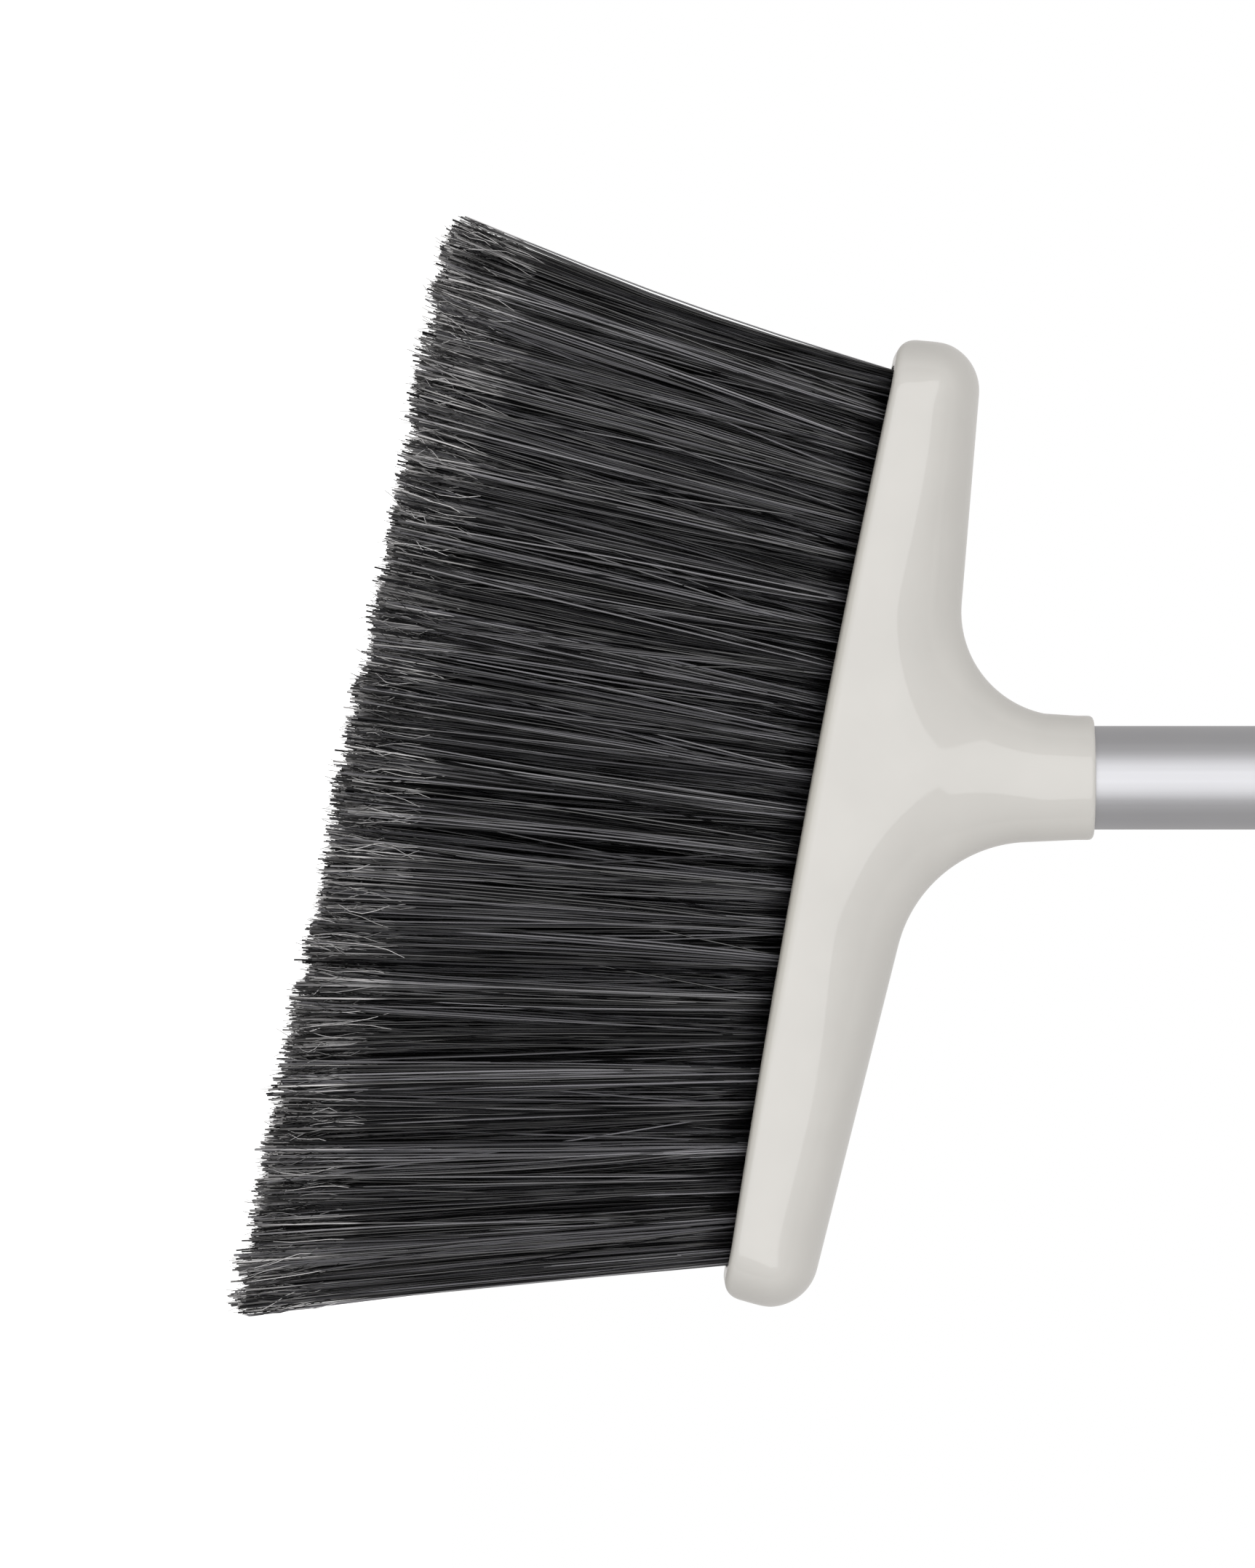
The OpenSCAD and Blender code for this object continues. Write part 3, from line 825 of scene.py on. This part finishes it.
def build_flags(row, paths, splits=2):
    """Flagged ends: fine threads that leave each filament near its tip."""
    owner = np.repeat(np.arange(len(paths)), splits)
    n = len(owner)
    last = paths.shape[1] - 1
    leave = rng.uniform(*FLAG_START, n) * last
    tip_end = paths[owner, -1] + np.stack([
        rng.normal(0, 1.5, n),
        rng.normal(0, 0.7, n),
        np.clip(rng.normal(1.2, 1.8, n), -1.6, 6.0),
    ], axis=-1)
    low = leave.astype(int)
    part = (leave - low)[:, None]
    leave_at = paths[owner, low] * (1 - part) + paths[owner, low + 1] * part
    t = np.linspace(0, 1, 5)
    fine = leave_at[:, None, :] + (tip_end - leave_at)[:, None, :] * t[None, :, None]
    fine[:, :, 0] += rng.normal(0, 0.8, n)[:, None] * np.sin(math.pi * t)[None, :]
    fine[:, :, 0] += rng.normal(0, 0.4, n)[:, None] * np.sin(2 * math.pi * t)[None, :]
    fine[:, :, 1] += rng.normal(0, 0.4, n)[:, None] * np.sin(math.pi * t)[None, :]
    # no thread stands out past the two sides of the brush
    fallen = np.clip(-fine[:, :, 2] / HEEL_LENGTH, 0, 1)
    heel_side = lerp(HEEL_ROOT - TUFT_R, HEEL_TIP - FLAG_STRAY, fallen)
    toe_side = lerp(TOE_ROOT + TUFT_R, TOE_TIP + FLAG_STRAY, fallen)
    fine[:, :, 0] = np.clip(fine[:, :, 0], heel_side, toe_side)
    radii = rng.uniform(*FLAG_R, n)[:, None] * np.array([1.0, 1.0, 1.0, 0.9, 0.6])[None, :]
    vertices, faces = strands(fine, radii, 3)
    add_mesh(f"bristle_flags_row_{row}", bar_to_frame(vertices), faces, FLAG, "head")


for row in range(1, ROWS + 1):
    build_row(row)


# ---------- handle ----------

def lathe(name, profile, points, material, body):
    """A closed ring of revolution about the handle axis from (radius, height) pairs in mm."""
    turn = np.linspace(0, 2 * math.pi, points, endpoint=False)
    rings = np.array([
        np.stack([r * np.cos(turn), r * np.sin(turn), np.full(points, z)], axis=-1)
        for r, z in profile
    ]) * MM
    count = len(profile)
    k = np.arange(count)[:, None]
    i = np.arange(points)[None, :]
    j = (i + 1) % points
    following = (k + 1) % count
    quads = np.stack(
        [k * points + i, k * points + j, following * points + j, following * points + i], axis=-1
    ).reshape(-1, 4)
    return add_mesh(name, rings, [quads], material, body)


def drill_along_y(piece, r, centre):
    """Cuts a round hole along Y, radius and centre in mm, and applies it."""
    bpy.ops.mesh.primitive_cylinder_add(vertices=48, radius=r * MM, depth=0.1)
    cutter = bpy.context.object
    along_y = Matrix.Rotation(math.pi / 2, 4, "X")
    cutter.matrix_world = Matrix.Translation([c * MM for c in centre]) @ along_y
    bpy.context.view_layer.update()
    cut = piece.modifiers.new("cut", "BOOLEAN")
    cut.operation = "DIFFERENCE"
    cut.solver = "EXACT"
    cut.object = cutter
    apply_modifiers(piece)
    bpy.data.objects.remove(cutter)


def apply_modifiers(piece):
    """Keeps the evaluated shape and drops the modifiers."""
    graph = bpy.context.evaluated_depsgraph_get()
    shape = bpy.data.meshes.new_from_object(piece.evaluated_get(graph))
    piece.modifiers.clear()
    piece.data = shape


def build_tube():
    """The tube with small bevels at both ends, cross-drilled for the two pins."""
    foot = LIP_Z + TUBE_FOOT
    inner = TUBE_R - TUBE_WALL
    foot_bevel, top_bevel, inner_bevel = 0.25, 0.3, 0.1
    profile = [
        (TUBE_R - foot_bevel, foot),
        (TUBE_R, foot + foot_bevel),
        (TUBE_R, TUBE_TOP - top_bevel),
        (TUBE_R - top_bevel, TUBE_TOP),
        (inner + inner_bevel, TUBE_TOP),
        (inner, TUBE_TOP - inner_bevel),
        (inner, foot + inner_bevel),
        (inner + inner_bevel, foot),
    ]
    tube = lathe("tube_skin", profile, 192, ALUMINIUM, "handle")
    drill_along_y(tube, PIN_R, (0, 0, foot + PIN_HEIGHT))
    tube.data.set_sharp_from_angle(angle=math.radians(35))
    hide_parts("handle_tube")


def rounded_edge(r, centre, first, last, steps):
    """Points (radius, height) on a rounded edge, from one angle to another."""
    return [
        (centre[0] + r * math.cos(a), centre[1] + r * math.sin(a))
        for a in np.linspace(first, last, steps)
    ]


def build_grip():
    """A soft sleeve with round grooves and rounded ends."""
    edge_r, groove_depth, groove_half = 1.5, 0.9, 1.3
    shoulder = GRIP_R - edge_r
    low_turn = 0.2 - math.pi / 2
    high_turn = math.pi / 2 - 0.2
    profile = [(TUBE_R, GRIP_LOW), (shoulder, GRIP_LOW)]
    profile += rounded_edge(edge_r, (shoulder, GRIP_LOW + edge_r), low_turn, 0, 6)
    grooves = int((GRIP_HIGH - GRIP_LOW - 2 * GROOVE_PITCH) / GROOVE_PITCH)
    for k in range(1, grooves + 1):
        middle = GRIP_LOW + (k + 0.5) * GROOVE_PITCH
        profile += [
            (GRIP_R - groove_depth * math.sin(a) ** 1.5, middle - groove_half * math.cos(a))
            for a in np.linspace(0, math.pi, 9)
        ]
    profile += rounded_edge(edge_r, (shoulder, GRIP_HIGH - edge_r), 0, high_turn, 6)
    profile += [(shoulder, GRIP_HIGH), (TUBE_R, GRIP_HIGH)]
    grip = lathe("ribbed_grip", profile, 128, RUBBER, "handle")
    grip.data.set_sharp_from_angle(angle=math.radians(50))
    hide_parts("grip_sleeve")


def add_tab(cap):
    """Adds the flat hanging tab, with a half-round top about the hanging hole."""
    outline = [(-TAB_R, TUBE_TOP + 1), (TAB_R, TUBE_TOP + 1)]
    outline += [(TAB_R * math.cos(a), TAB_R * math.sin(a)) for a in np.linspace(0, math.pi, 40)]
    shape = bmesh.new()
    shape.from_mesh(cap.data)
    front = [shape.verts.new((x * MM, -TAB_HALF * MM, z * MM)) for x, z in outline]
    back = [shape.verts.new((x * MM, TAB_HALF * MM, z * MM)) for x, z in outline]
    shape.faces.new(front)
    shape.faces.new(back[::-1])
    count = len(outline)
    for i in range(count):
        j = (i + 1) % count
        shape.faces.new((front[j], front[i], back[i], back[j]))
    shape.to_mesh(cap.data)
    shape.free()


def build_hang_cap():
    """Hollow plug, dome and tab, merged into one softened skin."""
    axis_gap, seat_gap, plug_gap = 0.05, 0.02, 0.05
    dome_edge_r, bore_r, bore_h = 6, 9, 20
    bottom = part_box("hang_cap")[0][2] / MM
    plug_r = TUBE_R - TUBE_WALL - plug_gap
    profile = [(axis_gap, bottom + bore_h), (bore_r, bottom + bore_h), (bore_r, bottom)]
    profile += [(plug_r, bottom), (plug_r, TUBE_TOP + seat_gap), (DOME_R, TUBE_TOP + seat_gap)]
    edge_centre = (DOME_R - dome_edge_r, TUBE_TOP + DOME_H - dome_edge_r)
    profile += rounded_edge(dome_edge_r, edge_centre, 0, math.pi / 2, 10)
    profile += [(axis_gap, TUBE_TOP + DOME_H)]
    cap = lathe("hang_eye", profile, 96, PLASTIC, "handle")
    add_tab(cap)
    drill_along_y(cap, HANG_HOLE_R, (0, 0, 0))
    remesh = cap.modifiers.new("one_skin", "REMESH")
    remesh.mode = "VOXEL"
    remesh.voxel_size = 0.4 * MM
    soften = cap.modifiers.new("soften", "SMOOTH")
    soften.factor = 0.5
    soften.iterations = 8
    apply_modifiers(cap)
    cap.data.polygons.foreach_set("use_smooth", [True] * len(cap.data.polygons))
    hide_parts("hang_cap")


build_tube()
build_grip()
build_hang_cap()


# ---------- materials of the CAD pieces that stay ----------

KEPT_NODES = {
    "tuft_block": BLOCK,
    "tuft_anchors": STEEL,
    "block_screws": STEEL,
    "thread_insert": BLOCK,
    "thread_gasket": SEAL,
    "threaded_tip": TIP,
    "tip_pins": STEEL,
}


def dress(node, material):
    """Gives every material slot of a CAD piece the one material."""
    if not node.material_slots:
        node.data.materials.append(material)
    for material_slot in node.material_slots:
        material_slot.material = material


for node_name, material in KEPT_NODES.items():
    dress(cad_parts[node_name], material)


# ---------- floor, light and camera ----------

def build_floor():
    """A white floor that adds no light and no reflection of its own to the broom."""
    floor = bpy.data.materials.new("floor_white")
    floor.use_nodes = True
    bsdf = floor.node_tree.nodes["Principled BSDF"]
    bsdf.inputs["Base Color"].default_value = grey(0.35)
    bsdf.inputs["Roughness"].default_value = 0.9
    bsdf.inputs["Emission Color"].default_value = grey(1.0)
    bsdf.inputs["Emission Strength"].default_value = 0.95
    bpy.ops.mesh.primitive_circle_add(vertices=96, radius=4.0, fill_type="NGON")
    plane = bpy.context.object
    plane.name = "floor"
    plane.location = (0, 0, FLOOR_Z)
    plane.data.materials.append(floor)
    plane.visible_diffuse = False
    plane.visible_glossy = False


def build_world():
    """White to the camera; a soft room for the light, darker to the sides than front and back."""
    side_strength, front_strength = 0.60, 0.70
    world = bpy.data.worlds.new("studio")
    bpy.context.scene.world = world
    world.use_nodes = True
    nodes, links = world.node_tree.nodes, world.node_tree.links
    nodes.clear()
    out = nodes.new("ShaderNodeOutputWorld")
    coords = nodes.new("ShaderNodeTexCoord")
    split = nodes.new("ShaderNodeSeparateXYZ")
    links.new(coords.outputs["Generated"], split.inputs[0])
    depth = nodes.new("ShaderNodeMath")
    depth.operation = "ABSOLUTE"
    links.new(split.outputs["Y"], depth.inputs[0])
    room = nodes.new("ShaderNodeMapRange")
    room.inputs["From Min"].default_value = 0.1
    room.inputs["From Max"].default_value = 0.95
    room.inputs["To Min"].default_value = side_strength
    room.inputs["To Max"].default_value = front_strength
    links.new(depth.outputs[0], room.inputs["Value"])
    soft = nodes.new("ShaderNodeBackground")
    soft.inputs["Color"].default_value = (1.0, 0.975, 0.95, 1.0)
    links.new(room.outputs["Result"], soft.inputs["Strength"])
    white = nodes.new("ShaderNodeBackground")
    white.inputs["Color"].default_value = grey(1.0)
    seen = nodes.new("ShaderNodeLightPath")
    choose = nodes.new("ShaderNodeMixShader")
    links.new(seen.outputs["Is Camera Ray"], choose.inputs["Fac"])
    links.new(soft.outputs[0], choose.inputs[1])
    links.new(white.outputs[0], choose.inputs[2])
    links.new(choose.outputs[0], out.inputs["Surface"])


def look_along(place, back, up=(0.0, 0.0, 1.0)):
    """Placement with local +Z pointing along back, which is away from what is looked at."""
    z = np.array(back, dtype=float) / np.linalg.norm(back)
    x = np.cross(up, z)
    x /= np.linalg.norm(x)
    y = np.cross(z, x)
    return Matrix([[x[i], y[i], z[i], place[i]] for i in range(3)] + [[0, 0, 0, 1]])


def area_light(name, place, aim, size, watts, mirrored=True):
    """A square light, in metres, that the camera doesn't see."""
    data = bpy.data.lights.new(name, "AREA")
    data.size = size
    data.energy = watts
    light = bpy.data.objects.new(name, data)
    bpy.context.scene.collection.objects.link(light)
    light.matrix_world = look_along(place, np.subtract(place, aim))
    light.visible_camera = False
    light.visible_glossy = mirrored


def build_camera():
    """Square-on to the head, with the handle running to the right of the picture."""
    picture_height = 0.3782
    aim_across, aim_below_lip = 1.5, 44.3
    data = bpy.data.cameras.new("camera")
    data.lens = 200.0
    data.sensor_width = 36.0
    data.clip_end = 50.0
    camera = bpy.data.objects.new("camera", data)
    bpy.context.scene.collection.objects.link(camera)
    distance = picture_height * data.lens / data.sensor_width
    place = (aim_across * MM, -distance, (LIP_Z - aim_below_lip) * MM)
    camera.matrix_world = look_along(place, (0, -1, 0), up=(-1, 0, 0))
    bpy.context.scene.camera = camera


build_floor()
build_world()
head_z = LIP_Z * MM
# a large soft light in front, level with the head, and one behind that shows in no reflection
area_light("key", (0.0, -1.5, head_z), (0, 0, head_z), 2.4, 25.0)
area_light("rear_fill", (-0.6, 2.6, -0.3), (0, 0, -0.6), 2.2, 18.0, mirrored=False)
build_camera()
bpy.context.scene.view_settings.view_transform = "Standard"
